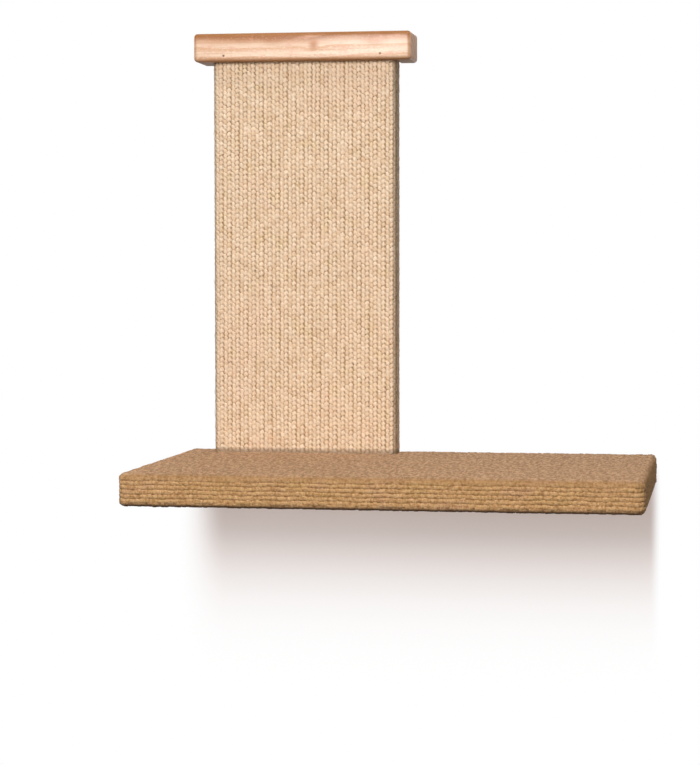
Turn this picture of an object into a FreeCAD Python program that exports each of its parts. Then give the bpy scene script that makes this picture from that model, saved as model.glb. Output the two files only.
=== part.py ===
import FreeCAD, Part
import math
import os

Vector = FreeCAD.Vector

# Wall-hung scratching post: a board wrapped in a sisal mat, with a wood cap and a carpeted shelf.
# Millimetres. The wall is the plane y = 0, the front faces -y, +x is to the right from the front.
# The origin lies midway between the entry holes of the two keyhole hangers.

# Post
post_width = 180.0
post_visible_height = 375.0
board_thickness = 25.0
board_edge_radius = 2.0
mat_thickness = 7.0
mat_return_width = 21.0
mat_return_gap = 1.0
mat_wall_inset = 0.5
mat_staple_count = 7

# Cap
cap_length = 211.0
cap_depth = 42.0
cap_height = 27.0
cap_edge_radius = 3.5
cap_socket_depth = 10.0
brad_side_inset = 14.0
brad_rise = 5.6
brad_length = 32.0
brad_radius = 0.7
brad_head_radius = 1.1
brad_head_height = 0.8
brad_sink = 0.5

# Shelf
shelf_length = 457.0
shelf_depth = 260.0
shelf_left_reach = 119.5
core_thickness = 19.0
core_corner_radius = 3.0
carpet_thickness = 5.5
carpet_margin = 35.0
carpet_wall_inset = 1.0
carpet_mitre_gap = 0.8
carpet_staple_setback = 9.0
carpet_staples_front = 8
carpet_staples_end = 4

# Angle brackets
bracket_land_margin = 10.0
bracket_width = 20.0
bracket_thickness = 3.0
bracket_bend_radius = 1.5
bracket_rise = 108.0
bracket_reach = 150.0
bracket_corner_radius = 5.0
bracket_rise_hole_shares = (0.18, 0.52, 0.86)
bracket_reach_hole_shares = (0.28, 0.6, 0.92)

# Keyhole hangers
hanger_land_margin = 11.5
hanger_drop = 60.0
hanger_plate_width = 19.0
hanger_plate_thickness = 2.0
hanger_plate_corner_radius = 4.0
keyhole_entry_radius = 5.25
keyhole_slot_width = 5.2
keyhole_slot_rise = 13.0
keyhole_pocket_depth = 8.0
keyhole_pocket_margin = 1.0
hanger_screw_margin = 5.5
hanger_plate_end = 5.0

# Screws: length, shank radius and head radius of each kind
bracket_screw_length = 16.0
bracket_screw_radius = 2.0
bracket_screw_head_radius = 3.9
hanger_screw_length = 14.0
hanger_screw_radius = 1.6
hanger_screw_head_radius = 3.1
shelf_screw_length = 60.0
shelf_screw_radius = 2.5
shelf_screw_head_radius = 4.8
shelf_screw_bracket_gap = 8.0
shelf_screw_setback = 15.0
screw_tip_share = 1.8
fastener_sides = 10
recess_length_share = 1.1
recess_width_share = 0.26
recess_depth_share = 0.45

# Staples
staple_crown = 11.0
staple_leg = 12.0
staple_wire_width = 1.2
staple_wire_thickness = 0.7

# Fits
fit_clearance = 0.3
carpet_post_gap = 0.5
overrun = 4.0
plane_tolerance = 0.001

# Places that follow from the sizes above
board_width = post_width - 2 * mat_thickness
board_half = board_width / 2
rebate_depth = mat_thickness + mat_wall_inset
rebate_width = mat_return_width + mat_return_gap
land_half = board_half - rebate_width
mat_radius = board_edge_radius + mat_thickness
post_depth = board_thickness + mat_thickness
board_top = hanger_drop
cap_bottom = board_top - cap_socket_depth
cap_top = cap_bottom + cap_height
shelf_top = cap_bottom - post_visible_height
core_top = shelf_top - carpet_thickness
core_bottom = core_top - core_thickness
shelf_bottom = core_bottom - carpet_thickness
shelf_left = -shelf_left_reach
shelf_right = shelf_left + shelf_length
core_left = shelf_left + carpet_thickness
core_right = shelf_right - carpet_thickness
core_front = carpet_thickness - shelf_depth
brad_place = post_width / 2 - brad_side_inset
bracket_place = land_half - bracket_land_margin - bracket_width / 2
hanger_place = land_half - hanger_land_margin - hanger_plate_width / 2
shelf_screw_place = bracket_place + bracket_width / 2 + shelf_screw_bracket_gap
keyhole_pocket_radius = keyhole_entry_radius + keyhole_pocket_margin
hanger_screw_low = -(keyhole_pocket_radius + hanger_screw_margin)
hanger_screw_high = keyhole_slot_rise + keyhole_pocket_radius + hanger_screw_margin

up = Vector(0, 0, 1)
forward = Vector(0, -1, 0)
parallel_share = 0.999


def slab(x_low, x_high, y_low, y_high, z_low, z_high):
    corner = Vector(x_low, y_low, z_low)
    return Part.makeBox(x_high - x_low, y_high - y_low, z_high - z_low, corner)


def edges_along(shape, axis):
    found = []
    for edge in shape.Edges:
        run = edge.Vertexes[-1].Point - edge.Vertexes[0].Point
        if abs(run.normalize().dot(axis)) > parallel_share:
            found.append(edge)
    return found


def on_plane(edge, axis, place):
    return all(abs(v.Point.dot(axis) - place) < plane_tolerance for v in edge.Vertexes)


def pillar(x_half, y_low, y_high, z_low, z_high, radius):
    block = slab(-x_half, x_half, y_low, y_high, z_low, z_high)
    return block.makeFillet(radius, edges_along(block, up))


def placed(shape, place, direction):
    copy = shape.copy()
    copy.Placement = FreeCAD.Placement(place, FreeCAD.Rotation(-up, direction))
    return copy


# A small turned shape with flat sides, from the radius and height of each of its rings, top down
def faceted(rings):
    faces = []
    loops = []
    for radius, height in rings:
        turns = [2 * math.pi * side / fastener_sides for side in range(fastener_sides + 1)]
        loops.append([Vector(radius * math.cos(a), radius * math.sin(a), height) for a in turns])
    for above, below in zip(loops, loops[1:]):
        for side in range(fastener_sides):
            corners = [above[side], above[side + 1], below[side + 1], below[side]]
            if below[side].isEqual(below[side + 1], plane_tolerance):
                corners.pop()
            faces.append(Part.Face(Part.makePolygon(corners + corners[:1])))
    for radius, height in (rings[0], rings[-1]):
        if radius > 0:
            rim = [Vector(radius * math.cos(a), radius * math.sin(a), height) for a in turns]
            faces.append(Part.Face(Part.makePolygon(rim)))
    solid = Part.Solid(Part.Shell(faces))
    if solid.Volume < 0:
        solid.reverse()
    return solid


# A countersunk screw, its head at the origin and its point down the -z axis
def screw_blank(length, radius, head_radius):
    neck = radius - head_radius
    tip = radius * screw_tip_share - length
    return faceted([(head_radius, 0), (radius, neck), (radius, tip), (0, -length)])


def screw(length, radius, head_radius):
    reach = head_radius * recess_length_share / 2
    half = head_radius * recess_width_share / 2
    depth = head_radius * recess_depth_share
    slot = slab(-reach, reach, -half, half, -depth, overrun)
    cross = slot.fuse(slab(-half, half, -reach, reach, -depth, overrun))
    return screw_blank(length, radius, head_radius).cut(cross)


def screw_set(places, direction, length, radius, head_radius):
    fastener = screw(length, radius, head_radius)
    blank = screw_blank(length, radius, head_radius)
    fasteners = [placed(fastener, place, direction) for place in places]
    holes = [placed(blank, place, direction) for place in places]
    return Part.makeCompound(fasteners), holes


# A staple, its crown along the x axis at the origin and its legs down the -z axis
def staple():
    half = staple_crown / 2
    inner = half - staple_wire_thickness
    side = -staple_wire_width / 2
    outline = [
        Vector(-half, side, 0),
        Vector(half, side, 0),
        Vector(half, side, -staple_leg),
        Vector(inner, side, -staple_leg),
        Vector(inner, side, -staple_wire_thickness),
        Vector(-inner, side, -staple_wire_thickness),
        Vector(-inner, side, -staple_leg),
        Vector(-half, side, -staple_leg),
        Vector(-half, side, 0),
    ]
    return Part.Face(Part.makePolygon(outline)).extrude(Vector(0, staple_wire_width, 0))


def stapled(place, crown_axis, direction):
    copy = staple()
    legs = -direction
    turn = FreeCAD.Rotation(crown_axis, legs.cross(crown_axis), legs, "XZY")
    copy.Placement = FreeCAD.Placement(place, turn)
    return copy


def mat_staples():
    column = board_half - mat_return_width / 2
    pitch = (cap_bottom - core_top) / mat_staple_count
    staples = []
    for side in (-1, 1):
        for row in range(mat_staple_count):
            height = core_top + pitch * (row + 1 / 2)
            staples.append(stapled(Vector(side * column, -mat_wall_inset, height), up, forward))
    return staples


def carpet_staples():
    inset = carpet_margin - carpet_staple_setback
    front = core_front + inset
    run = core_right - core_left - 2 * carpet_margin
    staples = []
    for step in range(carpet_staples_front):
        x = core_left + carpet_margin + run * (step + 1 / 2) / carpet_staples_front
        staples.append(stapled(Vector(x, front, shelf_bottom), Vector(1, 0, 0), up))
    depth = -core_front - carpet_margin
    for column in (core_left + inset, core_right - inset):
        for step in range(carpet_staples_end):
            y = -depth * (step + 1 / 2) / carpet_staples_end
            staples.append(stapled(Vector(column, y, shelf_bottom), Vector(0, 1, 0), up))
    return staples


def rounded_bend(bar, height, depth, radius):
    across = edges_along(bar, Vector(1, 0, 0))
    corner = [e for e in across if on_plane(e, up, height) and on_plane(e, forward, depth)]
    return bar.makeFillet(radius, corner)


# A flat-bar angle: its upright leg lies against the wall plane, its level leg under the shelf core
def bracket_blank(centre, side_clearance):
    half = bracket_width / 2 + side_clearance
    low = core_bottom - bracket_thickness
    high = core_top + bracket_rise
    outline = [
        Vector(centre - half, 0, low),
        Vector(centre - half, 0, high),
        Vector(centre - half, -bracket_thickness, high),
        Vector(centre - half, -bracket_thickness, core_bottom),
        Vector(centre - half, -bracket_reach, core_bottom),
        Vector(centre - half, -bracket_reach, low),
        Vector(centre - half, 0, low),
    ]
    bar = Part.Face(Part.makePolygon(outline)).extrude(Vector(2 * half, 0, 0))
    bar = rounded_bend(bar, low, 0, bracket_bend_radius + bracket_thickness)
    bar = rounded_bend(bar, core_bottom, bracket_thickness, bracket_bend_radius)
    tips = [e for e in edges_along(bar, forward) if on_plane(e, up, high)]
    tips += [e for e in edges_along(bar, up) if on_plane(e, forward, bracket_reach)]
    return bar.makeFillet(bracket_corner_radius, tips)


def bracket_post_places(centre):
    return [Vector(centre, 0, core_top + bracket_rise * share) for share in bracket_rise_hole_shares]


def bracket_shelf_places(centre):
    low = core_bottom - bracket_thickness
    return [Vector(centre, -bracket_reach * share, low) for share in bracket_reach_hole_shares]


# The keyhole: a round entry with a narrower slot rising from it
def keyhole(depth):
    half = keyhole_slot_width / 2
    entry = Part.makeCylinder(keyhole_entry_radius, depth, Vector(0, 0, 0), forward)
    end = Part.makeCylinder(half, depth, Vector(0, 0, keyhole_slot_rise), forward)
    slot = slab(-half, half, -depth, 0, 0, keyhole_slot_rise)
    return entry.fuse([slot, end])


def keyhole_pocket():
    radius = keyhole_pocket_radius
    depth = hanger_plate_thickness + keyhole_pocket_depth
    low = Part.makeCylinder(radius, depth, Vector(0, 0, 0), forward)
    high = Part.makeCylinder(radius, depth, Vector(0, 0, keyhole_slot_rise), forward)
    return low.fuse([slab(-radius, radius, -depth, 0, 0, keyhole_slot_rise), high])


def hanger_outline():
    half = hanger_plate_width / 2
    low = hanger_screw_low - hanger_plate_end
    high = hanger_screw_high + hanger_plate_end
    plate = slab(-half, half, -hanger_plate_thickness, 0, low, high)
    return plate.makeFillet(hanger_plate_corner_radius, edges_along(plate, forward))


def hanger_places(centre):
    return [Vector(centre, 0, hanger_screw_low), Vector(centre, 0, hanger_screw_high)]


def moved(shape, centre):
    copy = shape.copy()
    copy.translate(Vector(centre, 0, 0))
    return copy


# A brad along +y, its head sunk a little below the front of the cap
def brad_and_hole(x):
    seat = Vector(x, brad_sink - cap_depth, cap_bottom + brad_rise)
    shank = [(brad_head_radius, -brad_head_height), (brad_radius, -brad_head_height), (brad_radius, -brad_length)]
    brad = faceted([(brad_head_radius, 0)] + shank)
    hole = faceted([(brad_head_radius, brad_sink + overrun)] + shank)
    return placed(brad, seat, -forward), placed(hole, seat, -forward)


def post_blank():
    front = pillar(board_half, -board_thickness, -rebate_depth, core_top, board_top, board_edge_radius)
    land = slab(-land_half, land_half, -board_thickness / 2, 0, core_top, board_top)
    return front.fuse(land).removeSplitter()


def mat_blank():
    top = board_top - fit_clearance
    wrap = pillar(post_width / 2, -post_depth, -mat_wall_inset, core_top, top, mat_radius)
    inner = pillar(board_half, -board_thickness, -rebate_depth, core_top, top, board_edge_radius)
    gap_half = board_half - mat_return_width
    window = slab(-gap_half, gap_half, -board_thickness / 2, overrun, core_top, top)
    return wrap.cut([inner, window])


def cap_blank():
    half = cap_length / 2
    block = slab(-half, half, -cap_depth, 0, cap_bottom, cap_top)
    shown = [e for e in block.Edges if not on_plane(e, forward, 0)]
    block = block.makeFillet(cap_edge_radius, shown)
    socket_half = post_width / 2 + fit_clearance
    socket_front = -(post_depth + fit_clearance)
    radius = mat_radius + fit_clearance
    socket = slab(-socket_half, socket_half, socket_front, overrun, cap_bottom - overrun, board_top)
    corners = [e for e in edges_along(socket, up) if on_plane(e, forward, -socket_front)]
    return block.cut(socket.makeFillet(radius, corners))


def core_blank():
    block = slab(core_left, core_right, core_front, 0, core_bottom, core_top)
    corners = [e for e in edges_along(block, up) if on_plane(e, forward, -core_front)]
    return block.makeFillet(core_corner_radius, corners)


def carpet_corner_mitre(corner_x, side):
    run = 2 * carpet_margin
    half = carpet_mitre_gap / 2
    slit = slab(0, run, -half, half, shelf_bottom - overrun, core_bottom)
    slit.rotate(Vector(0, 0, 0), up, 90 - side * 45)
    slit.translate(Vector(corner_x, core_front, 0))
    return slit


# The carpet wraps the top, front and ends, and turns under as a margin with mitred corners
def carpet_blank():
    block = slab(shelf_left, shelf_right, -shelf_depth, -carpet_wall_inset, shelf_bottom, shelf_top)
    corners = [e for e in edges_along(block, up) if on_plane(e, forward, shelf_depth)]
    block = block.makeFillet(core_corner_radius + carpet_thickness, corners)
    rims = [e for e in block.Edges if on_plane(e, up, shelf_top) or on_plane(e, up, shelf_bottom)]
    rims = [e for e in rims if not on_plane(e, forward, carpet_wall_inset)]
    block = block.makeFillet(carpet_thickness, rims)
    inner_left = core_left + carpet_margin
    inner_right = core_right - carpet_margin
    inner_front = core_front + carpet_margin
    window = slab(inner_left, inner_right, inner_front, overrun, shelf_bottom - overrun, core_bottom)
    foot_half = post_width / 2 + carpet_post_gap
    foot_front = -(post_depth + carpet_post_gap)
    foot = slab(-foot_half, foot_half, foot_front, overrun, core_top, shelf_top + overrun)
    foot_corners = [e for e in edges_along(foot, up) if on_plane(e, forward, -foot_front)]
    foot = foot.makeFillet(mat_radius + carpet_post_gap, foot_corners)
    mitres = [carpet_corner_mitre(core_left, 1), carpet_corner_mitre(core_right, -1)]
    return block.cut([core_blank(), window, foot] + mitres)


def build():
    bracket_centres = (-bracket_place, bracket_place)
    hanger_centres = (-hanger_place, hanger_place)

    post_places = [place for centre in bracket_centres for place in bracket_post_places(centre)]
    shelf_places = [place for centre in bracket_centres for place in bracket_shelf_places(centre)]
    plate_places = [place for centre in hanger_centres for place in hanger_places(centre)]
    foot_places = [
        Vector(step * shelf_screw_place, -shelf_screw_setback, core_bottom) for step in (-1, 0, 1)
    ]
    bracket_kind = (bracket_screw_length, bracket_screw_radius, bracket_screw_head_radius)
    hanger_kind = (hanger_screw_length, hanger_screw_radius, hanger_screw_head_radius)
    shelf_kind = (shelf_screw_length, shelf_screw_radius, shelf_screw_head_radius)
    post_screws, post_holes = screw_set(post_places, forward, *bracket_kind)
    shelf_screws, shelf_holes = screw_set(shelf_places, up, *bracket_kind)
    plate_screws, plate_holes = screw_set(plate_places, forward, *hanger_kind)
    foot_screws, foot_holes = screw_set(foot_places, up, *shelf_kind)

    brackets = [
        bracket_blank(centre, 0).cut(post_holes + shelf_holes) for centre in bracket_centres
    ]
    bracket_beds = [bracket_blank(centre, fit_clearance) for centre in bracket_centres]
    plate = hanger_outline().cut(keyhole(hanger_plate_thickness))
    plates = [moved(plate, centre).cut(plate_holes) for centre in hanger_centres]
    plate_beds = [moved(hanger_outline(), centre) for centre in hanger_centres]
    pockets = [moved(keyhole_pocket(), centre) for centre in hanger_centres]

    brads, brad_holes = zip(*[brad_and_hole(x) for x in (-brad_place, brad_place)])
    mat_tacks = mat_staples()
    carpet_tacks = carpet_staples()

    post_cuts = bracket_beds + plate_beds + pockets + post_holes + plate_holes + foot_holes
    return {
        "post_board": post_blank().cut(post_cuts + mat_tacks + list(brad_holes)),
        "sisal_mat": mat_blank().cut(mat_tacks + list(brad_holes)),
        "sisal_staples": Part.makeCompound(mat_tacks),
        "top_cap": cap_blank().cut(list(brad_holes)),
        "cap_brads": Part.makeCompound(brads),
        "shelf_board": core_blank().cut(bracket_beds + shelf_holes + foot_holes + carpet_tacks),
        "shelf_carpet": carpet_blank().cut(carpet_tacks),
        "carpet_staples": Part.makeCompound(carpet_tacks),
        "bracket_left": brackets[0],
        "bracket_right": brackets[1],
        "bracket_post_screws": post_screws,
        "bracket_shelf_screws": shelf_screws,
        "shelf_screws": foot_screws,
        "hanger_plate_left": plates[0],
        "hanger_plate_right": plates[1],
        "hanger_plate_screws": plate_screws,
    }


os.makedirs("parts", exist_ok=True)
for node, shape in build().items():
    shape.exportStep("parts/" + node + ".step")
    print(node, len(shape.Solids), "solids", round(shape.Volume), "mm3, valid:", shape.isValid())
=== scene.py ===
import math

import bmesh
import bpy
import numpy as np
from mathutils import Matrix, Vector
from mathutils.kdtree import KDTree


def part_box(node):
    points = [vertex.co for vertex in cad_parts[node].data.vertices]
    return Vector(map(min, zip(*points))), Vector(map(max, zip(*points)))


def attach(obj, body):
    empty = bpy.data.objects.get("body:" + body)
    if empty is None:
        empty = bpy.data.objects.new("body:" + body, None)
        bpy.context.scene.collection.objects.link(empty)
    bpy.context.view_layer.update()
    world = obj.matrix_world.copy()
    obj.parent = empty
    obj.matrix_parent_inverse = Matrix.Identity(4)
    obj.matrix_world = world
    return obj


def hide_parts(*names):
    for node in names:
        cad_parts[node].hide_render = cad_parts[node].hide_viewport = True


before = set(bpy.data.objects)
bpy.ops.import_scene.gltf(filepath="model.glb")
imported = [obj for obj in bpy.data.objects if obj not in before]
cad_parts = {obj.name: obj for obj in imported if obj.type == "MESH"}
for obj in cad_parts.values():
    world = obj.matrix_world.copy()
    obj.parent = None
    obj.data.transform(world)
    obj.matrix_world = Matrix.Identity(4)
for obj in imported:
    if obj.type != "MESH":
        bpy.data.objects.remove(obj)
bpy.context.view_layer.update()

chance = np.random.default_rng(seed=11)
samePlace = 1e-5           # points nearer than this are at one place
weldGap = 1e-6             # doubles nearer than this are merged
facing = 0.9               # least part of a normal along the axis that its face points along
quarterTurn = math.pi / 2
print("frame loaded:", len(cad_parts), "nodes")


# Modelling helpers

def freshStart():
    if bpy.context.mode != "OBJECT":
        bpy.ops.object.mode_set(mode="OBJECT")
    bpy.ops.object.select_all(action="DESELECT")


def startPiece(name):
    # the primitive just added: its place goes into its mesh, and edit mode opens
    piece = bpy.context.active_object
    piece.name = name
    piece.data.name = name
    bpy.ops.object.transform_apply(location=True, rotation=True, scale=True)
    bpy.ops.object.mode_set(mode="EDIT")
    return piece


def addBlock(name, low, high):
    freshStart()
    middle = [(a + b) / 2 for a, b in zip(low, high)]
    size = [b - a for a, b in zip(low, high)]
    bpy.ops.mesh.primitive_cube_add(size=1, location=middle, scale=size)
    return startPiece(name)


def pick(piece, kind, test):
    bpy.ops.mesh.select_mode(type=kind)
    bpy.ops.mesh.select_all(action="DESELECT")
    shape = bmesh.from_edit_mesh(piece.data)
    for item in {"VERT": shape.verts, "EDGE": shape.edges, "FACE": shape.faces}[kind]:
        if test(item):
            item.select_set(True)
    bmesh.update_edit_mesh(piece.data)


def near(a, b):
    return abs(a - b) < samePlace


def upright(edge):
    a, b = (v.co for v in edge.verts)
    return near(a.x, b.x) and near(a.y, b.y)


def level(edge):
    a, b = (v.co for v in edge.verts)
    return near(a.z, b.z)


def leaveEdit():
    # faces are turned outwards first
    bpy.ops.mesh.select_all(action="SELECT")
    bpy.ops.mesh.normals_make_consistent(inside=False)
    shape = bmesh.from_edit_mesh(bpy.context.edit_object.data)
    if all(e.is_manifold for e in shape.edges) and shape.calc_volume(signed=True) < 0:
        bpy.ops.mesh.flip_normals()
    bpy.ops.object.mode_set(mode="OBJECT")


def applyModifier(piece, kind, **settings):
    bpy.context.view_layer.objects.active = piece
    modifier = piece.modifiers.new(kind.lower(), kind)
    for key, value in settings.items():
        setattr(modifier, key, value)
    bpy.ops.object.modifier_apply(modifier=modifier.name)


def smoothed(piece, degrees):
    freshStart()
    piece.select_set(True)
    bpy.context.view_layer.objects.active = piece
    bpy.ops.object.shade_smooth_by_angle(angle=math.radians(degrees))


def dress(piece, slotName, finish, *nodes):
    piece.data.materials.clear()
    piece.data.materials.append(finish)
    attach(piece, "root")
    if nodes:
        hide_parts(*nodes)


def takeShape(piece, lift=None):
    # the modelled unit as plain arrays, with a value from 0 to 1 at each point for its finish,
    # which paints shade where it is low; the object itself goes
    points = np.array([v.co for v in piece.data.vertices])
    faces = [list(f.vertices) for f in piece.data.polygons]
    bpy.data.objects.remove(piece)
    return points, faces, lift(points) if lift else np.ones(len(points))


def spread(name, unit, places, axes, tones, wrap=None):
    # one mesh of many copies of a unit, each with its own place, axes and tone;
    # wrap gives each copy's distance and direction round the post, kept for the finish
    points, faces, lift = unit
    count, size = len(places), len(points)
    cloud = np.einsum("nij,vj->nvi", axes, points) + places[:, None, :]
    copies = [[v + k * size for v in f] for k in range(count) for f in faces]
    mesh = bpy.data.meshes.new(name)
    mesh.from_pydata(cloud.reshape(-1, 3), [], copies)
    layers = {"tone": np.repeat(tones, size), "lift": np.tile(lift, count)}
    if wrap:
        beside = np.einsum("nvi,ni->nv", cloud - places[:, None, :], wrap[1])
        layers["round"] = (wrap[0][:, None] + beside).ravel()
    for key, values in layers.items():
        layer = mesh.attributes.new(key, "FLOAT", "POINT")
        layer.data.foreach_set("value", values.astype(np.float32))
    mesh.polygons.foreach_set("use_smooth", np.ones(len(mesh.polygons), bool))
    mesh.update()
    piece = bpy.data.objects.new(name, mesh)
    bpy.context.scene.collection.objects.link(piece)
    print("  ", name, count, "copies,", len(copies), "faces")
    return piece


def framesOf(along, out):
    # axes with x along a row, z out of the surface
    along = along / np.linalg.norm(along, axis=1)[:, None]
    across = np.cross(out, along)
    across = across / np.linalg.norm(across, axis=1)[:, None]
    return np.stack([along, across, np.cross(along, across)], axis=2)


def nearStaples(nodeName, places, reach):
    # 1 at a staple, less and less beyond its reach
    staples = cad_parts[nodeName].data.vertices
    tree = KDTree(len(staples))
    for vertex in staples:
        tree.insert(vertex.co, vertex.index)
    tree.balance()
    distances = np.array([tree.find(p)[2] for p in places])
    return np.exp(-((distances / reach) ** 2))


def foldOver(run, radius, wall):
    # run metres past the edge of a board's face, over two rounded corners with a wall between:
    # distance out, drop, turn of the surface, and how far it has gone in on the other face
    quarter = radius * quarterTurn
    first = np.clip(run, 0, quarter) / radius
    second = np.clip(run - quarter - wall, 0, quarter) / radius
    inward = np.clip(run - 2 * quarter - wall, 0, None)
    out = radius * np.sin(first) + radius * (np.cos(second) - 1) - inward
    drop = radius * (1 - np.cos(first)) + np.clip(run - quarter, 0, wall) + radius * np.sin(second)
    return out, drop, first + second, inward


# Shader maths

class Wire:
    # one socket of a material: sums written on it add Math nodes
    def __init__(self, tree, socket=None):
        self.tree = tree
        self.socket = socket

    def node(self, kind, settings=None, inputs=None, out=0):
        made = self.tree.nodes.new("ShaderNode" + kind)
        for key, value in (settings or {}).items():
            setattr(made, key, value)
        for key, value in (inputs or {}).items():
            if isinstance(value, Wire):
                self.tree.links.new(value.socket, made.inputs[key])
            else:
                made.inputs[key].default_value = value
        return Wire(self.tree, made.outputs[out] if made.outputs else None)

    def math(self, operation, *values):
        return self.node("Math", {"operation": operation}, dict(enumerate(values)))

    def __add__(self, other):
        return self.math("ADD", self, other)

    def __sub__(self, other):
        return self.math("SUBTRACT", self, other)

    def __rsub__(self, other):
        return self.math("SUBTRACT", other, self)

    def __mul__(self, other):
        return self.math("MULTIPLY", self, other)

    def __truediv__(self, other):
        return self.math("DIVIDE", self, other)

    def __pow__(self, other):
        return self.math("POWER", self, other)

    def __abs__(self):
        return self.math("ABSOLUTE", self)

    __radd__ = __add__
    __rmul__ = __mul__

    def fraction(self):
        return self.math("FRACT", self)

    def between(self, low, high):
        # 0 below low, 1 above high, eased in between
        ranges = {"From Min": low, "From Max": high}
        return self.node("MapRange", {"interpolation_type": "SMOOTHSTEP"}, {"Value": self, **ranges})

    def past(self, edge, reach):
        # the same, over a stretch that is measured from an edge
        return self.between(edge + reach[0], edge + reach[1])

    def mix(self, first, second):
        # this value as the factor between two colours, at a Mix node's colour sockets
        factor, firstColour, secondColour, result = 0, 6, 7, 2
        colours = {factor: self, firstColour: first, secondColour: second}
        return self.node("Mix", {"data_type": "RGBA"}, colours, result)

    def split(self, axes):
        # self is a vector
        return [self.node("SeparateXYZ", None, {0: self}, axis) for axis in axes]

    def noise(self, stretch, detail):
        # self is a vector; stretch is the pattern's repeats per metre on each axis
        scaled = self.node("Mapping", None, {"Vector": self, "Scale": stretch})
        return self.node("TexNoise", None, {"Vector": scaled, "Scale": 1.0, "Detail": detail})

    def attribute(self, name):
        return self.node("Attribute", {"attribute_name": name}, out="Fac")

    def bump(self, strength, distance):
        depths = {"Height": self, "Strength": strength, "Distance": distance}
        return self.node("Bump", None, depths, "Normal")


def paint(red, green, blue):
    # a colour as read from a screen, 0 to 255, as the shader takes it
    parts = [c / 255 for c in (red, green, blue)]
    linear = [c / 12.92 if c <= 0.04045 else ((c + 0.055) / 1.055) ** 2.4 for c in parts]
    return (*linear, 1.0)


def coated(colour, *coats):
    # colours laid over one another: where each lies, how strongly, and the colour
    for mask, share, over in coats:
        colour = (mask * share).mix(colour, over)
    return colour


def apart(across, along):
    return (across * across + along * along) ** 0.5


def newFinish(name):
    material = bpy.data.materials.new(name)
    material.use_nodes = True
    material.node_tree.nodes.clear()
    start = Wire(material.node_tree)
    return material, start, start.node("TexCoord", out="Object")


def closeFinish(start, sockets):
    shader = start.node("BsdfPrincipled", None, sockets)
    start.node("OutputMaterial", None, {"Surface": shader})


# Finishes

matLow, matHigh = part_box("sisal_mat")
carpetLow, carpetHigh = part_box("shelf_carpet")
coreLow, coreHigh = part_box("shelf_board")
capLow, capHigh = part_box("top_cap")

weave = dict(
    ribPitch=0.00794,
    rowPitch=0.00464,
    firstRow=0.0034,                # above the mat's lower edge
    pitSlant=0.26,                  # the pits' lean to the left, per unit of height
    pitFade=1.5,                    # where a pit has faded out, in its reaches squared
    pits=(                          # place in a rib, reach sideways and upwards, depth of its painted shade
        (0.47, 0.00120, 0.0020, 0.35),
        (0.02, 0.00110, 0.0020, 0.12),
    ),
    edgeShade=(-0.0046, -0.0008),   # from the mat's sides: where their shade starts and is full
    edgeDepth=(0.008, 0.013),       # from its face: where that shade wanes and ends
    footShade=(0.0005, 0.0050),     # above the shelf's carpet
)


def pitShade(away, height, place, reach, tall, depth):
    # one soft slanting pit of painted shade per rib and row
    column = away / weave["ribPitch"] - place
    beside = (column.fraction() - 0.5) * weave["ribPitch"]
    row = (height - (matLow.z + weave["firstRow"])) / weave["rowPitch"] + 0.5
    above = (row.fraction() - 0.5) * weave["rowPitch"]
    across = (beside + above * weave["pitSlant"]) / reach
    along = above / tall
    return (1 - (across * across + along * along).between(0.0, weave["pitFade"])) * depth


def sisalFinish():
    material, start, place = newFinish("sisalFibre")
    away, tone, lift = (start.attribute(name) for name in ("round", "tone", "lift"))
    fibre = place.noise((2600, 2600, 300), 3.0)
    blotch = place.noise((70, 70, 55), 2.0)
    patch = place.noise((22, 22, 16), 1.0)
    across, ahead, height = place.split("XYZ")
    # painted shade on the mat's rounded sides near its face, and along its foot just above the carpet
    edge = abs(across).past(matHigh.x, weave["edgeShade"])
    edge = edge * (1 - ahead.past(matLow.y, weave["edgeDepth"]))
    foot = 1 - height.past(carpetHigh.z, weave["footShade"])
    uneven = 0.5 + blotch.between(0.3, 0.7)
    # painted shade in the pits between the strands
    pits = [(pitShade(away, height, *pit), uneven, paint(142, 104, 70)) for pit in weave["pits"]]
    colour = coated(
        tone.mix(paint(232, 199, 164), paint(251, 227, 199)),
        (patch.between(0.5, 0.68), 0.4, paint(248, 216, 188)),
        (blotch.between(0.55, 0.72), 0.35, paint(242, 216, 170)),
        (fibre.between(0.42, 0.7), 0.25, paint(212, 178, 138)),
        # painted shade where the strands' ends dip under their neighbours
        (1 - lift.between(0.0, 0.4), 0.15, paint(196, 164, 126)),
        *pits,
        # painted shade on the mat's sides and foot
        (edge, 0.8, paint(150, 126, 100)),
        (foot, 0.6, paint(128, 98, 68)),
    )
    closeFinish(start, {
        "Base Color": colour, "Roughness": 0.72 + fibre * 0.2, "Normal": fibre.bump(0.5, 0.0004),
        "Sheen Weight": 0.04, "Sheen Roughness": 0.6, "Specular IOR Level": 0.15,
    })
    return material


def backingFinish(name, light, dark):
    # the plain weave that the face yarns are caught in
    material, start, place = newFinish(name)
    warp = place.noise((700, 700, 90), 2.0)
    weft = place.noise((90, 90, 700), 2.0)
    cloth = warp * 0.5 + weft * 0.5
    closeFinish(start, {
        "Base Color": cloth.between(0.35, 0.65).mix(dark, light), "Roughness": 0.85 + cloth * 0.1,
        "Normal": cloth.bump(0.6, 0.0006), "Specular IOR Level": 0.2,
    })
    return material


pileLook = dict(
    sides=(-0.0005, 0.0025),        # out past the core: where the shelf's sides start
    tips=(-0.0028, -0.0008),        # from the carpet's top: the loops' tips, painted greyer and speckled as sheen
    rim=(-0.0064, -0.0040),         # from the carpet's top: the upper band of its sides, painted darker as shade
    under=(0.0012, 0.0054),         # from the carpet's underside: the shade along it
)


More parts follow.
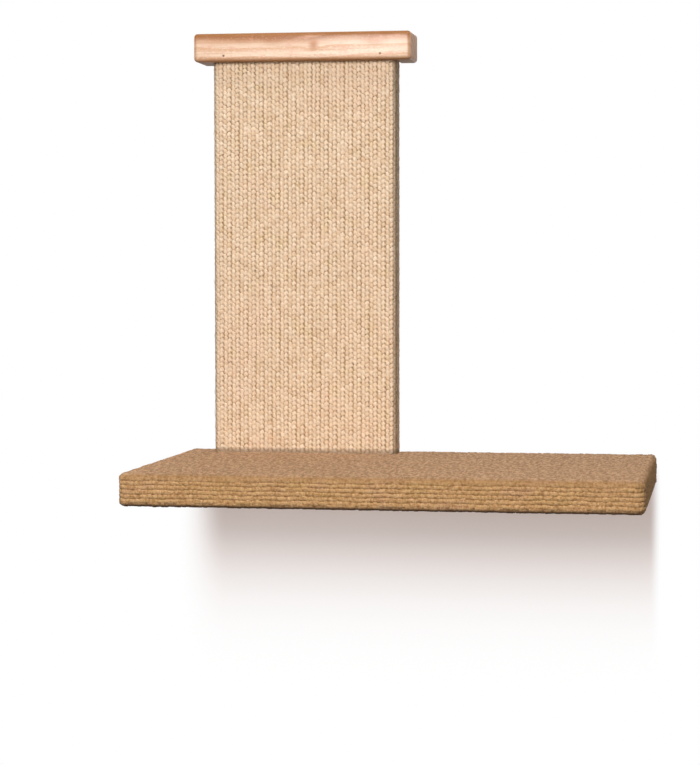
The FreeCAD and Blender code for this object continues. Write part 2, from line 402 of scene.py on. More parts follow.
def carpetFinish():
    material, start, place = newFinish("carpetPile")
    tone, lift = (start.attribute(name) for name in ("tone", "lift"))
    yarn = place.noise((700, 1500, 1500), 3.0)
    streak = place.noise((60, 500, 500), 2.0)
    drift = place.noise((9, 14, 14), 1.0)
    hue = place.noise((40, 90, 90), 2.0)
    dash = place.noise((170, 300, 300), 2.0)
    mottle = place.noise((330, 120, 120), 4.0)
    grit = place.noise((430, 470, 470), 2.0)
    across, ahead, height = place.split("XYZ")
    pastEnds = abs(across - (coreLow.x + coreHigh.x) / 2) - (coreHigh.x - coreLow.x) / 2
    sides = across.math("MAXIMUM", pastEnds, coreLow.y - ahead).between(*pileLook["sides"])
    # painted sheen: the loops' tips near the top turn greyer, pinker and speckled
    tips = height.past(carpetHigh.z, pileLook["tips"])
    # painted shade along the upper band of the front and ends
    rim = sides * height.past(carpetHigh.z, pileLook["rim"])
    # painted shade along the bottom of the front and ends
    under = sides * (1 - height.past(carpetLow.z, pileLook["under"]))
    speckle = mottle.between(0.38, 0.62).mix(paint(146, 113, 90), paint(224, 186, 154))
    # painted shade in the grooves between rows of loops, down the loops' sides
    grooveShade = (1 - lift.between(0.12, 0.5)) * (0.2 + 0.8 * dash.between(0.42, 0.6))
    colour = coated(
        tone.mix(paint(188, 143, 95), paint(220, 177, 129)),
        (streak.between(0.5, 0.7), 0.4, paint(164, 119, 72)),
        (drift.between(0.45, 0.7), 0.3, paint(198, 154, 102)),
        (hue.between(0.55, 0.7), 0.3, paint(206, 162, 134)),
        (1 - hue.between(0.32, 0.45), 0.3, paint(190, 154, 94)),
        (grit.between(0.5, 0.66), 0.5, paint(222, 180, 128)),
        (1 - grit.between(0.34, 0.5), 0.55, paint(146, 104, 64)),
        (tips, 0.6, speckle),
        (rim, 0.35, paint(146, 108, 70)),
        (yarn.between(0.45, 0.7), 0.35, paint(150, 110, 72)),
        (grooveShade, 0.25, paint(138, 98, 60)),
        (under, 0.85, paint(80, 56, 44)),
    )
    closeFinish(start, {
        "Base Color": colour, "Roughness": 0.78 + yarn * 0.18, "Normal": yarn.bump(0.55, 0.0005),
        "Sheen Weight": 0.05, "Sheen Roughness": 0.5, "Sheen Tint": paint(235, 205, 185),
        "Specular IOR Level": 0.1,
    })
    return material


capGrain = dict(
    pithBefore=0.022,               # the tree's middle lies before the cap's front
    pithBelow=0.038,                # and below its underside
    ringSpacing=0.0095,
    ringSway=1.5,                   # how far the rings wander, in rings
    knot=(0.012, 0.0148),           # x on the front, and height above the underside
    knotReach=0.0058,
    knotEdge=1.35,                  # where the knot's colour ends, in reaches
    knotPull=3.2,                   # where the rings no longer bend round it, in reaches
    heart=(0.0132, 0.0222),         # above the underside: where the darker heartwood starts and is full
    heartWave=0.012,                # unevenness of that edge
    heartFleck=0.008,
    plainLow=(0.0005, 0.0040),      # the front's plain face, from the underside,
    plainHigh=(-0.0054, -0.0012),   # to the top,
    plainEnds=(-0.0043, -0.0009),   # and to the ends; the rims round it are worn, losing their coat, and painted darker as shade
    rimWearAndShade=(0.0030, 0.0075),       # behind the front: where that wear and painted shade wane and end
    ends=(-0.0017, -0.0002),        # from the cap's ends: where the end grain, painted lighter as light on the ends, starts and is full
    under=(0.0001, 0.0009),         # above the underside, which has no coat and is painted darker as shade
)


def capFinish():
    material, start, place = newFinish("varnishedPine")
    x, y, z = place.split("XYZ")
    sway = place.noise((7, 30, 30), 2.0)
    wave = place.noise((26, 24, 24), 1.0)
    streak = place.noise((14, 420, 420), 3.0)
    pores = place.noise((130, 2600, 2600), 2.0)
    fleck = place.noise((330, 620, 620), 3.0)
    blush = place.noise((60, 120, 120), 2.0)
    knotX, knotHeight = capGrain["knot"]
    knotAway = apart(x - knotX, z - (capLow.z + knotHeight)) / capGrain["knotReach"]
    knotPull = 1 - knotAway.between(0.0, capGrain["knotPull"])
    pithY = capLow.y - capGrain["pithBefore"]
    pithZ = capLow.z - capGrain["pithBelow"]
    rings = apart(y - pithY, z - pithZ) / capGrain["ringSpacing"]
    rings = rings + sway * capGrain["ringSway"] + knotPull * 0.3 + streak * 0.25
    turn = rings.fraction()
    late = turn.between(0.35, 0.92) * (1 - turn.between(0.94, 1.0))
    heartLine = z + (wave - 0.5) * capGrain["heartWave"] + (fleck - 0.5) * capGrain["heartFleck"]
    heart = heartLine.past(capLow.z, capGrain["heart"])
    span = abs(x)
    # painted shade round the front's rims, where the coat is also worn away
    plainFace = z.past(capLow.z, capGrain["plainLow"]) * (1 - z.past(capHigh.z, capGrain["plainHigh"]))
    plainFace = plainFace * (1 - span.past(capHigh.x, capGrain["plainEnds"]) * 0.7)
    rimWearAndShade = (1 - plainFace) * (1 - y.past(capLow.y, capGrain["rimWearAndShade"]))
    # end grain, painted lighter to stand in for light falling on the ends
    ends = span.past(capHigh.x, capGrain["ends"])
    # painted shade on the underside, which also has no coat
    under = 1 - z.past(capLow.z, capGrain["under"])
    colour = coated(
        late.mix(paint(244, 210, 182), paint(230, 184, 150)),
        (heart, 0.9, late.mix(paint(192, 129, 82), paint(164, 101, 58))),
        (streak.between(0.46, 0.72), 0.5, paint(208, 154, 114)),
        (blush.between(0.52, 0.7), 0.45, paint(228, 168, 138)),
        (fleck.between(0.5, 0.72), 0.5 - heart * 0.3, paint(252, 228, 206)),
        (1 - fleck.between(0.28, 0.44), 0.35, paint(204, 150, 112)),
        (rimWearAndShade, 0.8, paint(166, 112, 66)),
        (ends, 0.9, late.mix(paint(255, 210, 178), paint(242, 184, 146))),
        (under, 0.8, paint(160, 116, 74)),
        (pores.between(0.62, 0.75), 0.35, paint(176, 124, 86)),
        (1 - knotAway.between(0.0, capGrain["knotEdge"]), 0.75, paint(188, 112, 58)),
    )
    grain = streak * 0.5 + pores * 0.5
    closeFinish(start, {
        "Base Color": colour, "Roughness": 0.36 + streak * 0.16 + pores * 0.06,
        "Coat Weight": (0.4 - late * 0.15) * (1 - ends) * (1 - rimWearAndShade) * (1 - under),
        "Normal": grain.bump(0.22, 0.0006), "Coat Roughness": 0.24, "Specular IOR Level": 0.08,
    })
    return material


def plywoodFinish(name, thickAxis, ply):
    # layers across the thick axis; the face grain runs along the board
    material, start, place = newFinish(name)
    layers = place.split(thickAxis)[0] / ply
    layer = (layers * 0.5).fraction()
    crossPly = layer.between(0.47, 0.53)
    glue = layer.between(0.44, 0.5) * (1 - layer.between(0.5, 0.56))
    faceGrain = place.noise((18, 300, 300) if thickAxis == "Z" else (300, 300, 18), 3.0)
    endGrain = place.noise((900, 900, 900), 2.0)
    figure = place.noise((5, 34, 34) if thickAxis == "Z" else (34, 34, 5), 2.0)
    colour = coated(
        faceGrain.between(0.3, 0.7).mix(paint(222, 190, 146), paint(198, 160, 114)),
        (figure.between(0.5, 0.66), 0.45, paint(186, 142, 96)),
        (crossPly, 0.4, paint(168, 128, 88)),
        (endGrain.between(0.55, 0.75), 0.3, paint(150, 112, 76)),
        (glue, 0.6, paint(110, 78, 52)),
    )
    grain = faceGrain * 0.7 + endGrain * 0.3
    closeFinish(start, {
        "Base Color": colour, "Roughness": 0.62 + faceGrain * 0.2,
        "Normal": grain.bump(0.4, 0.0007), "Specular IOR Level": 0.3,
    })
    return material


def metalFinish(name, bright, dull, rough):
    material, start, place = newFinish(name)
    cloud = place.noise((160, 160, 160), 3.0)
    rub = place.noise((1900, 240, 240), 2.0)
    closeFinish(start, {
        "Base Color": cloud.between(0.35, 0.65).mix(bright, dull), "Metallic": 1.0,
        "Roughness": rough + cloud * 0.18 + rub * 0.1, "Normal": rub.bump(0.12, 0.0003),
    })
    return material


sisal = sisalFinish()
sisalBase = backingFinish("sisalBacking", paint(204, 170, 132), paint(164, 132, 98))
pile = carpetFinish()
pileBase = backingFinish("carpetBacking", paint(164, 128, 88), paint(112, 82, 54))
varnishedPine = capFinish()
postPly = plywoodFinish("postPlywood", thickAxis="Y", ply=0.0031)
shelfPly = plywoodFinish("shelfPlywood", thickAxis="Z", ply=0.0027)
zincPlate = metalFinish("zincPlate", paint(214, 214, 210), paint(176, 178, 176), rough=0.26)
brightWire = metalFinish("brightWire", paint(206, 204, 200), paint(164, 160, 154), rough=0.24)
darkWire = metalFinish("darkWire", paint(128, 104, 84), paint(84, 66, 52), rough=0.4)

nodeFinishes = {
    "post_board": postPly, "shelf_board": shelfPly,
    "sisal_staples": brightWire, "carpet_staples": brightWire, "cap_brads": darkWire,
    "bracket_left": zincPlate, "bracket_right": zincPlate,
    "bracket_post_screws": zincPlate, "bracket_shelf_screws": zincPlate, "shelf_screws": zincPlate,
    "hanger_plate_left": zincPlate, "hanger_plate_right": zincPlate, "hanger_plate_screws": zincPlate,
}
for nodeName, finish in nodeFinishes.items():
    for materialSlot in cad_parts[nodeName].material_slots:
        materialSlot.material = finish
print("finishes made:", len(bpy.data.materials))


# Wood cap with its socket for the post's head

cap = dict(
    edgeRadius=0.0035,
    edgeSteps=5,
    socketDepth=0.010,
    socketCorner=0.0093,
    socketSteps=8,
    socketGap=0.0003,
    bradRadius=0.0012,
    bradSides=20,
    bradHoleDepth=0.0014,
    bradPlaces=(-0.076, 0.076),   # x on the front
    bradHeight=0.0056,            # above the underside
    smoothing=35,                 # degrees
)


def cutWith(piece, cutter):
    freshStart()
    applyModifier(piece, "BOOLEAN", operation="DIFFERENCE", solver="EXACT", object=cutter)
    bpy.data.objects.remove(cutter)


def makeCap():
    low, high = capLow, capHigh
    body = addBlock("woodCap", low, high)
    pick(body, "EDGE", lambda e: not all(near(v.co.y, high.y) for v in e.verts))
    bpy.ops.mesh.bevel(offset=cap["edgeRadius"], segments=cap["edgeSteps"], affect="EDGES")
    leaveEdit()

    gap = cap["socketGap"]
    over = cap["edgeRadius"]
    socketLow = (matLow.x - gap, matLow.y - gap, low.z - over)
    socketHigh = (matHigh.x + gap, high.y + over, low.z + cap["socketDepth"])
    socket = addBlock("socketCutter", socketLow, socketHigh)
    pick(socket, "EDGE", lambda e: upright(e) and near(e.verts[0].co.y, socketLow[1]))
    bpy.ops.mesh.bevel(offset=cap["socketCorner"], segments=cap["socketSteps"], affect="EDGES")
    leaveEdit()
    cutWith(body, socket)

    for x in cap["bradPlaces"]:
        freshStart()
        bpy.ops.mesh.primitive_cylinder_add(
            vertices=cap["bradSides"], radius=cap["bradRadius"], depth=2 * cap["bradHoleDepth"],
            location=(x, low.y, low.z + cap["bradHeight"]), rotation=(quarterTurn, 0, 0))
        drill = startPiece("bradDrill")
        leaveEdit()
        cutWith(body, drill)
    smoothed(body, cap["smoothing"])
    dress(body, "cap_wood", varnishedPine, "top_cap")


makeCap()
print("cap made")


# Sisal mat: a backing wrapped round the post, and upright columns of slanting strands on it

mat = dict(
    corner=0.009,
    returnEnd=0.062,
    backingOuter=0.0013,          # backing's outer face, below the mat's face
    backingInner=0.0067,
    returnPress=0.0014,           # how much flatter the mat lies on the back
    onBack=0.4,                   # outward direction along y past which it lies there
    turnSteps=6,
    smoothing=40,                 # degrees
    ribs=34,
    middleRibs=10,
    rowsIntoCap=0.006,            # how far the rows go up into the cap's socket
    rowSlip=0.5,                  # of a row's pitch, from left strands up to right ones
    ribSway=0.00025,
    swayWaves=(0.21, 1.7),        # radians per row and per rib
    strandDepth=0.0012,           # strand's middle, below the mat's face
    strandRadius=0.0010,
    strandSides=8,
    strandCuts=4,
    strandWidth=1.80,             # sideways, of the radius
    strandLength=0.0058,
    strandShape=(                 # place along its length, then width, thickness and shift outwards
        (0.5, 0.25, 0.60, -0.0002),
        (0.3, 0.62, 0.92, 0.0000),
        (-0.3, 0.62, 0.92, 0.0000),
        (-0.5, 0.25, 0.60, -0.0002),
    ),
    offsets=(-0.215, 0.275),      # of a rib's pitch, for its left and right strands
    leans=(-20.0, 18.0),          # degrees from upright, for the same
    widths=(1.20, 1.48),
    sideJitter=0.00011,
    rowJitter=0.00020,
    depthJitter=0.00012,
    leanJitter=4.0,               # degrees
    sizeJitter=0.045,
    tones=(0.6, 0.2),             # mean and spread
    staplePress=0.0026,
    stapleReach=0.0042,
    flat=(0.262, 0.390),          # developed at half its thickness
)
rowsTop = capLow.z + mat["rowsIntoCap"]
matFlank = matHigh.y - matLow.y - 2 * mat["corner"]


def followWrap(side, end):
    # what is selected at the left return's end is drawn all the way round to the right one's
    corner = mat["corner"]

    def turnAbout(x, y):
        bpy.ops.mesh.spin(steps=mat["turnSteps"], angle=-quarterTurn, center=(x, y, 0), axis=(0, 0, 1))

    def run(x, y):
        bpy.ops.mesh.extrude_region_move(TRANSFORM_OT_translate={"value": (x, y, 0)})

    run(end - side, 0)
    turnAbout(-side, matHigh.y - corner)
    run(0, -matFlank)
    turnAbout(-side, matLow.y + corner)
    run(2 * side, 0)
    turnAbout(side, matLow.y + corner)
    run(0, matFlank)
    turnAbout(side, matHigh.y - corner)
    run(end - side, 0)
    bpy.ops.mesh.select_all(action="SELECT")
    bpy.ops.mesh.remove_doubles(threshold=weldGap)


def makeMatBacking():
    outer, inner, end = mat["backingOuter"], mat["backingInner"], mat["returnEnd"]
    height = matHigh.z - matLow.z
    freshStart()
    # the cut end of the left return, stood upright
    middle = (-end, matHigh.y - (outer + inner) / 2, matLow.z + height / 2)
    bpy.ops.mesh.primitive_plane_add(size=1, rotation=(0, quarterTurn, 0), location=middle)
    backing = startPiece("sisalBacking")
    bpy.ops.mesh.select_all(action="SELECT")
    bpy.ops.transform.resize(value=(1, inner - outer, height), center_override=middle)
    followWrap(matHigh.x - mat["corner"], end)
    pick(backing, "VERT", lambda v: near(v.co.y, matHigh.y - outer))
    bpy.ops.transform.translate(value=(0, -mat["returnPress"], 0))
    leaveEdit()
    smoothed(backing, mat["smoothing"])
    return backing


def addYarn(name, sides, radius, length, cuts, shape):
    # a length of yarn along z, its outer side along y, shaped at places along it
    freshStart()
    bpy.ops.mesh.primitive_cylinder_add(vertices=sides, radius=radius, depth=length)
    yarn = startPiece(name)
    pick(yarn, "EDGE", upright)
    bpy.ops.mesh.subdivide(number_cuts=cuts)
    for share, width, thickness, shift in shape:
        height = share * length
        pick(yarn, "VERT", lambda v: near(v.co.z, height))
        bpy.ops.transform.resize(value=(width, thickness, 1), center_override=(0, 0, height))
        bpy.ops.transform.translate(value=(0, shift, 0))
    return yarn


def makeStrand():
    # short and flat, with ends that narrow and dip
    length = mat["strandLength"]
    strand = addYarn("strand", mat["strandSides"], mat["strandRadius"], length,
                     mat["strandCuts"], mat["strandShape"])
    bpy.ops.mesh.select_all(action="SELECT")
    bpy.ops.transform.resize(value=(mat["strandWidth"], 1, 1), center_override=(0, 0, 0))
    leaveEdit()
    return takeShape(strand, lambda p: 1 - 2 * np.abs(p[:, 2]) / length)


def matWrap(u, depth):
    # point, sideways direction and outward direction, u metres round from the front's middle
    front = matHigh.x - mat["corner"]
    run = np.abs(u)
    beyond, drop, turn = foldOver(run - front, mat["corner"] - depth, matFlank)[:3]
    hand = np.where(u < 0, -1.0, 1.0)
    zero = np.zeros_like(run)
    point = np.stack([hand * (np.minimum(run, front) + beyond), matLow.y + depth + drop, zero], axis=1)
    sideways = np.stack([np.cos(turn), hand * np.sin(turn), zero], axis=1)
    out = np.stack([hand * np.sin(turn), -np.cos(turn), zero], axis=1)
    return point, sideways, out


def uprightFrames(sideways, out, lean):
    # axes with z up the mat, turned sideways by lean, and y out of it
    along = sideways * np.sin(lean)[:, None]
    along[:, 2] = np.cos(lean)
    return framesOf(along, out)[:, :, [1, 2, 0]]


def strandSet(name, unit, ribs):
    bottom = matLow.z + weave["firstRow"]
    rows = int((rowsTop - bottom) / weave["rowPitch"])
    grid = np.meshgrid(ribs, np.arange(rows), (False, True), indexing="ij")
    rib, row, isRight = (part.ravel() for part in grid)
    count = len(rib)

    def ofSide(pair):
        return np.where(isRight, pair[1], pair[0])

    perRow, perRib = mat["swayWaves"]
    sway = mat["ribSway"] * np.sin(row * perRow + rib * perRib)
    u = (rib + ofSide(mat["offsets"])) * weave["ribPitch"] + sway
    u = u + chance.normal(0, mat["sideJitter"], count)
    point, sideways, out = matWrap(u, mat["strandDepth"])
    heights = bottom + (row + mat["rowSlip"] * isRight) * weave["rowPitch"]
    point[:, 2] = heights + chance.normal(0, mat["rowJitter"], count)
    press = mat["staplePress"] * nearStaples("sisal_staples", point, mat["stapleReach"])
    press = press + mat["returnPress"] * (out[:, 1] > mat["onBack"])
    point = point - out * (press + np.abs(chance.normal(0, mat["depthJitter"], count)))[:, None]
    lean = np.radians(ofSide(mat["leans"]) + chance.normal(0, mat["leanJitter"], count))
    axes = uprightFrames(sideways, out, lean) * chance.normal(1.0, mat["sizeJitter"], (count, 1, 1))
    axes[:, :, 0] *= ofSide(mat["widths"])[:, None]
    tones = np.clip(chance.normal(*mat["tones"], count), 0, 1)
    return spread(name, unit, point, axes, tones, (u, sideways))


stray = dict(
    count=360,
    radius=0.00012,
    sides=3,
    cuts=3,
    length=0.009,
    shape=(                       # as a strand's
        (-0.5, 1.0, 1.0, 0.0000),
        (-0.25, 1.0, 1.0, 0.0008),
        (0.0, 1.0, 1.0, 0.0013),
        (0.25, 0.8, 0.8, 0.0014),
        (0.5, 0.3, 0.3, 0.0010),
    ),
    reach=0.78,                   # of the way round to the ends of the mat
    depth=0.0009,                 # below the mat's face
    margin=0.006,                 # clear of the lower edge and the top row
    sizes=(0.5, 1.1),
    tones=(0.5, 1.0),
)


def makeStray():
    # one stray fibre, thin and bowed
    fibre = addYarn("stray", stray["sides"], stray["radius"], stray["length"],
                    stray["cuts"], stray["shape"])
    leaveEdit()
    return takeShape(fibre)


def straySet(name, unit):
    count = stray["count"]
    u = chance.uniform(-stray["reach"], stray["reach"], count) * mat["ribs"] * weave["ribPitch"] / 2
    point, sideways, out = matWrap(u, stray["depth"])
    point[:, 2] = chance.uniform(matLow.z + stray["margin"], rowsTop - stray["margin"], count)
    swing = chance.uniform(-math.pi, math.pi, count)
    axes = uprightFrames(sideways, out, swing) * chance.uniform(*stray["sizes"], (count, 1, 1))
    return spread(name, unit, point, axes, chance.uniform(*stray["tones"], count))


matBacking = makeMatBacking()
strandUnit = makeStrand()
ribNumbers = np.arange(mat["ribs"]) - (mat["ribs"] - 1) / 2
isMiddle = np.abs(ribNumbers) < mat["middleRibs"] / 2
matPieces = [
    strandSet("sisalMiddle", strandUnit, ribNumbers[isMiddle]),
    strandSet("sisalLeft", strandUnit, ribNumbers[~isMiddle & (ribNumbers < 0)]),
    strandSet("sisalRight", strandUnit, ribNumbers[~isMiddle & (ribNumbers > 0)]),
    straySet("sisalStrays", makeStray()),
]
dress(matBacking, "sisal", sisalBase, "sisal_mat")
for piece in matPieces:
    dress(piece, "sisal", sisal)
print("sisal mat made")


# Carpet on the shelf: a thin backing folded round the core, and rows of loops on it

carpet = dict(
    coreCorner=0.003,
    margin=0.035,                 # turned under, from the core's edge
    mitreGap=0.0005,
    footGap=0.0005,
    footClear=0.0009,             # loops keep this far from the cut round the post
    backingFace=0.0036,
    backingThick=0.0030,
    rimSteps=4,
    smoothing=40,                 # degrees
    seat=0.0026,                  # the loops' feet above the core
    middle=0.0042,                # half way up the loops
    loopHeight=0.0029,
    loopLength=0.0064,
    loopWidth=0.0050,
    loopSlimness=4.4,             # a loop's length over its yarn's radius
    loopSides=5,
    loopSteps=3,
    loopPitch=0.0027,
    rowPitch=0.00384,
    rowSway=0.00024,
    swayWaves=((61, 170, 0.0), (187, -80, 1.3)),   # radians per metre along and beside, and start
    swing=6.0,                    # degrees
    rowJitter=0.00012,
    loopJitter=0.0003,
    sizeJitter=0.05,
    heights=(0.93, 0.06),         # of the full height: mean and spread
    heightLimits=(0.75, 1.02),
    tones=(0.52, 0.25, 0.18),     # mean, drift and spread
    toneWaves=((260, 900), (97, -1500)),           # radians per metre along and beside
    stapleFlatten=0.72,
    stapleReach=0.0045,
    topParts=3,
    flat=(0.567, 0.314),
    flatArea=0.1627,              # without its corners and the cut round the post
)
footHalf = matHigh.x + carpet["footGap"]
footFront = matLow.y - carpet["footGap"]
coreThick = coreHigh.z - coreLow.z
edgeRun = carpet["middle"] * math.pi + coreThick + carpet["margin"]   # over the edge to the margin's end


def makeCarpetBacking():
    face, margin = carpet["backingFace"], carpet["margin"]
    low = (coreLow.x - face, coreLow.y - face, coreLow.z - face)
    high = (coreHigh.x + face, carpetHigh.y, coreHigh.z + face)
    backing = addBlock("carpetBacking", low, high)
    pick(backing, "EDGE", lambda e: upright(e) and near(e.verts[0].co.y, low[1]))
    bpy.ops.mesh.bevel(offset=carpet["coreCorner"] + face, segments=carpet["rimSteps"], affect="EDGES")
    pick(backing, "EDGE", lambda e: level(e) and not all(near(v.co.y, high[1]) for v in e.verts))
    bpy.ops.mesh.bevel(offset=face, segments=carpet["rimSteps"], affect="EDGES")
    left, right, front = coreLow.x + margin, coreHigh.x - margin, coreLow.y + margin
    sideways, ahead = Vector((1, 0, 0)), Vector((0, 1, 0))
    cuts = ((left, sideways), (right, sideways), (front, ahead),
            (-footHalf, sideways), (footHalf, sideways), (footFront, ahead))
    for place, normal in cuts:
        bpy.ops.mesh.select_all(action="SELECT")
        bpy.ops.mesh.bisect(plane_co=place * normal, plane_no=normal)

    def opened(item):
        # the back, the bare middle underneath and the cut round the post's foot
        c, n = item.calc_center_median(), item.normal
        under = n.z < -facing and left < c.x < right and c.y > front
        foot = n.z > facing and abs(c.x) < footHalf and c.y > footFront
        return n.y > facing or under or foot

    pick(backing, "FACE", opened)
    bpy.ops.mesh.delete(type="FACE")
    leaveEdit()
    freshStart()
    thickness = carpet["backingThick"]
    applyModifier(backing, "SOLIDIFY", thickness=thickness, offset=-1, use_even_offset=True)
    smoothed(backing, carpet["smoothing"])
    return backing


def makeLoop():
    # a flat bulky arch of yarn, its row along x and its feet at the origin's height
    sides = carpet["loopSides"]
    radius = carpet["loopLength"] / carpet["loopSlimness"]
    bend = carpet["loopLength"] / 2 - radius
    freshStart()
    start = (bend, 0, 0)
    bpy.ops.mesh.primitive_circle_add(vertices=sides, radius=radius, fill_type="NGON", location=start)
    loop = startPiece("loop")
    bpy.ops.mesh.select_all(action="SELECT")
    bpy.ops.mesh.spin(steps=carpet["loopSteps"], angle=math.pi, center=(0, 0, 0), axis=(0, 1, 0))
    bpy.ops.mesh.select_all(action="SELECT")
    wide = carpet["loopWidth"] / (2 * radius * math.cos(quarterTurn / sides))
    tall = carpet["loopHeight"] / (bend + radius)
    bpy.ops.transform.resize(value=(1, wide, tall), center_override=(0, 0, 0))
    leaveEdit()
    reach = carpet["loopWidth"] / 2
    return takeShape(loop, lambda p: np.clip(1 - np.abs(p[:, 1]) / reach, 0, 1))


def profile(run):
    # down over an edge: distance out from the core's edge, height, turn of the surface from level,
    # and how far it has gone in underneath
    out, drop, turn, under = foldOver(run, carpet["middle"], coreThick)
    return out, coreHigh.z + carpet["middle"] - drop, turn, under


def loopSet(name, unit, points, along, out):
    count = len(points)
    flatten = 1 - carpet["stapleFlatten"] * nearStaples("carpet_staples", points, carpet["stapleReach"])
    seats = points - out * (carpet["middle"] - carpet["seat"])
    swing = np.radians(chance.normal(0, carpet["swing"], count))[:, None]
    across = np.cross(out, along)
    run, beside = points[:, 0], points[:, 1] + points[:, 2]
    sway = carpet["rowSway"] * sum(np.sin(a * run + b * beside + c) for a, b, c in carpet["swayWaves"])
    seats = seats + across * (sway + chance.normal(0, carpet["rowJitter"], count))[:, None]
    seats = seats + along * chance.normal(0, carpet["loopJitter"], (count, 1))
    axes = framesOf(along * np.cos(swing) + across * np.sin(swing), out)
    axes = axes * chance.normal(1.0, carpet["sizeJitter"], (count, 1, 1))
    heights = np.clip(chance.normal(*carpet["heights"], count), *carpet["heightLimits"])
    axes[:, :, 2] *= (flatten * heights)[:, None]
    first, second = (np.sin(a * run + b * beside) for a, b in carpet["toneWaves"])
    mean, drift, jitter = carpet["tones"]
    tones = np.clip(mean + drift * first * second + chance.normal(0, jitter, count), 0, 1)
    return spread(name, unit, seats, axes, tones)


def vectors(x, y, z):
    return np.stack(np.broadcast_arrays(x, y, z), axis=-1).astype(float)


def rowPlaces():
    back = carpetHigh.y - carpet["loopWidth"] / 2 - 2 * carpet["rowSway"]
    depth = back - coreLow.y - carpet["rowPitch"] / 2
    return back - np.linspace(0, depth, round(depth / carpet["rowPitch"]) + 1)


def topLoops():
    x = np.arange(coreLow.x + carpet["loopPitch"] / 2, coreHigh.x, carpet["loopPitch"])
    x, y = np.meshgrid(x, rowPlaces(), indexing="ij")
    x = x + chance.uniform(-0.5, 0.5, (1, x.shape[1])) * carpet["loopPitch"]
    x, y = x.ravel(), y.ravel()
    clear = carpet["footClear"]
    keep = ~((np.abs(x) < footHalf + clear) & (y > footFront - clear))
    keep &= (x > coreLow.x) & (x < coreHigh.x)
    x, y = x[keep], y[keep]
    points = vectors(x, y, coreHigh.z + carpet["middle"])
    return points, vectors(1, 0 * x, 0), vectors(0 * x, 0, 1)


def frontLoops():
    # rows along the front, over both rims, and round the two corners
    corner = carpet["coreCorner"]
    found = []
    for run in np.arange(carpet["rowPitch"] / 2, edgeRun, carpet["rowPitch"]):
        away, height, turn, under = (float(v) for v in profile(run))
        inset = max(corner, under + carpet["mitreGap"] + carpet["loopPitch"] / 2)
        x = np.arange(coreLow.x + inset, coreHigh.x - inset, carpet["loopPitch"])
        x = x + chance.uniform(0, 1) * (coreHigh.x - inset - x[-1])
        point = vectors(x, coreLow.y - away, height)
        out = vectors(0 * x, -math.sin(turn), math.cos(turn))
        found.append((point, vectors(1, 0 * x, 0), out))
        if under > 0:
            continue
        plan = corner + away
        steps = max(1, round(plan * quarterTurn / carpet["loopPitch"]))
        angle = (np.arange(steps) + 0.5) / steps * quarterTurn
        for hand, middle in ((-1, coreLow.x + corner), (1, coreHigh.x - corner)):
            sine, cosine = hand * np.sin(angle), -np.cos(angle)
            point = vectors(middle + plan * sine, coreLow.y + corner + plan * cosine, height)
            out = vectors(sine * math.sin(turn), cosine * math.sin(turn), math.cos(turn))
            found.append((point, vectors(-cosine, sine, 0), out))
    return [np.concatenate(group) for group in zip(*found)]


def endLoops():
    # the rows of the top go on down over both ends and turn under
    found = []
    for y in rowPlaces():
        if y < coreLow.y + carpet["coreCorner"]:
            continue
        run = np.arange(carpet["loopPitch"] * chance.uniform(0.3, 0.7), edgeRun, carpet["loopPitch"])
        away, height, turn, under = profile(run)
        keep = under + carpet["mitreGap"] + carpet["rowPitch"] / 2 < y - coreLow.y
        away, height, turn = away[keep], height[keep], turn[keep]
        for hand, edge in ((-1, coreLow.x), (1, coreHigh.x)):
            point = vectors(edge + hand * away, y, height)
            out = vectors(hand * np.sin(turn), 0, np.cos(turn))
            along = vectors(hand * np.cos(turn), 0, -np.sin(turn))
            found.append((point, along, out))
    return [np.concatenate(group) for group in zip(*found)]


carpetBacking = makeCarpetBacking()
loopUnit = makeLoop()
topSet = topLoops()
bands = np.linspace(coreLow.x, coreHigh.x, carpet["topParts"] + 1)
pilePieces = []
for number in range(carpet["topParts"]):
    inBand = (topSet[0][:, 0] >= bands[number]) & (topSet[0][:, 0] < bands[number + 1])
    pilePieces.append(loopSet(f"pileTop{number + 1}", loopUnit, *(part[inBand] for part in topSet)))
pilePieces.append(loopSet("pileFront", loopUnit, *frontLoops()))
pilePieces.append(loopSet("pileEnds", loopUnit, *endLoops()))
dress(carpetBacking, "carpet", pileBase, "shelf_carpet")
for piece in pilePieces:
    dress(piece, "carpet", pile)
print("carpet made")


# Stage, light and camera

stage = dict(
    white=(1, 1, 1, 1),
    planeSize=12,
    wallGap=0.0015,
    floorDrop=1.7,
    shadowTop=(0.003, 0.021),       # from the shelf's underside: its shadow on the backdrop starts here,
    shadowFade=(-0.245, -0.015),    # fades out here,
    shadowLeft=(-0.0155, 0.0345),   # and lies between these, from the shelf's left
    shadowRight=(-0.0075, 0.0045),  # and right ends
    shadowCurve=2.5,
    shadowDepth=0.60,
    worldFill=0.25,
    worldTint=(1, 0.985, 0.97, 1),
    worldDim=(-0.5, 0.1),           # upward direction: half the fill below these, all of it above
    lookAt=(0.10, -0.10, -0.16),
)
lamps = dict(
    keyLamp=dict(place=(-0.05, -2.4, 0.55), size=(0.9, 0.9), power=47, target=stage["lookAt"]),
    topLamp=dict(place=(0.15, -0.55, 1.7), size=(1.5, 0.7), power=9, target=(0.1, -0.15, -0.3)),
    backLamp=dict(place=(0.1, 3.0, 0.5), size=(1.6, 1.2), power=30, target=stage["lookAt"],
                  mirrored=False),
)


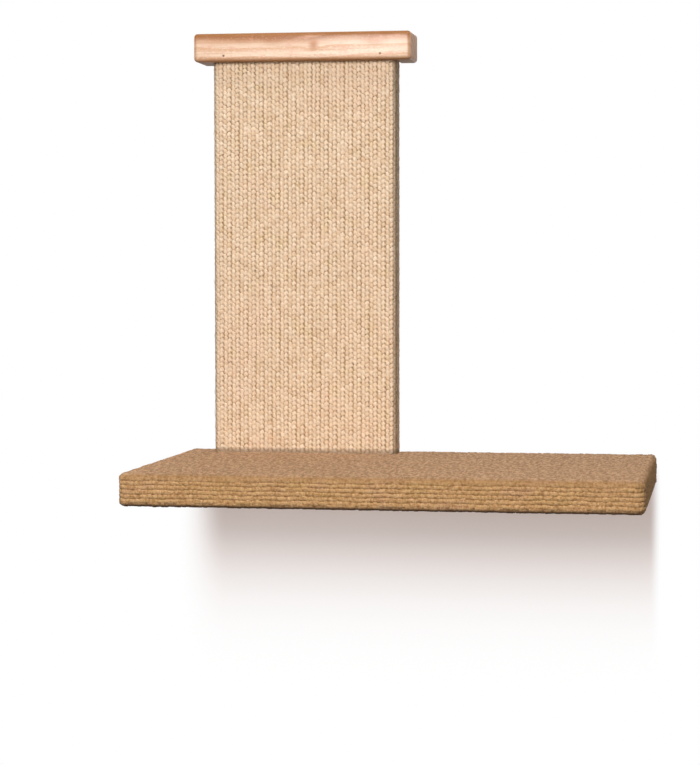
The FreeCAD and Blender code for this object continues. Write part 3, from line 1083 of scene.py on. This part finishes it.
def stageFinish(name, shadowed):
    # opaque only to the camera and only from the front, so light and rear views pass
    material, start, place = newFinish(name)
    seen = start.node("LightPath", out="Is Camera Ray")
    back = start.node("NewGeometry", out="Backfacing")
    shown = start.node("Emission", None, {"Color": stage["white"], "Strength": 1.0})
    if shadowed:
        across, height = place.split("XZ")
        mask = height.past(carpetLow.z, stage["shadowFade"]) ** stage["shadowCurve"]
        mask = mask * (1 - height.past(carpetLow.z, stage["shadowTop"]))
        mask = mask * across.past(carpetLow.x, stage["shadowLeft"])
        mask = mask * (1 - across.past(carpetHigh.x, stage["shadowRight"]))
        # painted shadow tint: within the mask the backdrop's glow is dimmer and pinker, and its matte
        # colour is pink, standing in for light bounced off the shelf's brown underside
        matte = start.node("BsdfDiffuse", None, {"Color": paint(255, 226, 216)})
        glow = (mask ** 2).mix(stage["white"], paint(255, 239, 232))
        warm = start.node("Emission", None, {"Color": glow, "Strength": 1.0})
        shown = start.node("MixShader", None, {0: mask * stage["shadowDepth"], 1: warm, 2: matte})
    clear = start.node("BsdfTransparent")
    shown = start.node("MixShader", None, {0: seen * (1 - back), 1: clear, 2: shown})
    start.node("OutputMaterial", None, {"Surface": shown})
    return material


def addStagePlane(name, location, rotation, shadowed):
    freshStart()
    bpy.ops.mesh.primitive_plane_add(size=stage["planeSize"], location=location, rotation=rotation)
    plane = startPiece(name)
    bpy.ops.object.mode_set(mode="OBJECT")
    plane.data.materials.append(stageFinish(name + "White", shadowed))


def addLamp(name, place, size, power, target, mirrored=True):
    lamp = bpy.data.lights.new(name, "AREA")
    lamp.shape = "RECTANGLE"
    lamp.size, lamp.size_y = size
    lamp.energy = power
    holder = bpy.data.objects.new(name, lamp)
    holder.visible_glossy = mirrored
    holder.location = place
    holder.rotation_euler = (Vector(target) - Vector(place)).to_track_quat("-Z", "Y").to_euler()
    bpy.context.scene.collection.objects.link(holder)


def setWorld():
    world = bpy.data.worlds.new("studio")
    bpy.context.scene.world = world
    world.use_nodes = True
    world.node_tree.nodes.clear()
    start = Wire(world.node_tree)
    seen, mirrored, through = (start.node("LightPath", out=f"Is {kind} Ray")
                               for kind in ("Camera", "Glossy", "Transmission"))
    shown = start.math("MAXIMUM", seen, start.math("MAXIMUM", mirrored, through))
    plain = start.node("Background", None, {"Color": stage["white"], "Strength": 1.0})
    upward = start.node("TexCoord", out="Generated").split("Z")[0]
    softer = stage["worldFill"] * (0.5 + 0.5 * upward.between(*stage["worldDim"]))
    fill = start.node("Background", None, {"Color": stage["worldTint"], "Strength": softer})
    both = start.node("MixShader", None, {0: shown, 1: fill, 2: plain})
    start.node("OutputWorld", None, {"Surface": both})


addStagePlane("wallBackdrop", (0, stage["wallGap"], 0), (quarterTurn, 0, 0), shadowed=True)
addStagePlane("studioFloor", (0, 0, -stage["floorDrop"]), (0, 0, 0), shadowed=False)
setWorld()
for lampName, settings in lamps.items():
    addLamp(lampName, **settings)

camera = dict(
    place=(0.4074, -2.0143, -0.1485),
    lens=98.85,
    yaw=0.1516,
    pitch=0.0413,
    shift=(-0.08, -0.035),
    clip=(0.05, 50),
)


def setCamera():
    view = bpy.data.cameras.new("photoView")
    view.lens = camera["lens"]
    view.shift_x, view.shift_y = camera["shift"]
    view.clip_start, view.clip_end = camera["clip"]
    holder = bpy.data.objects.new("photoView", view)
    holder.location = camera["place"]
    holder.rotation_euler = (quarterTurn - camera["pitch"], 0, camera["yaw"])
    bpy.context.scene.collection.objects.link(holder)
    bpy.context.scene.camera = holder


setCamera()
bpy.context.scene.view_settings.view_transform = "Standard"
print("stage set")
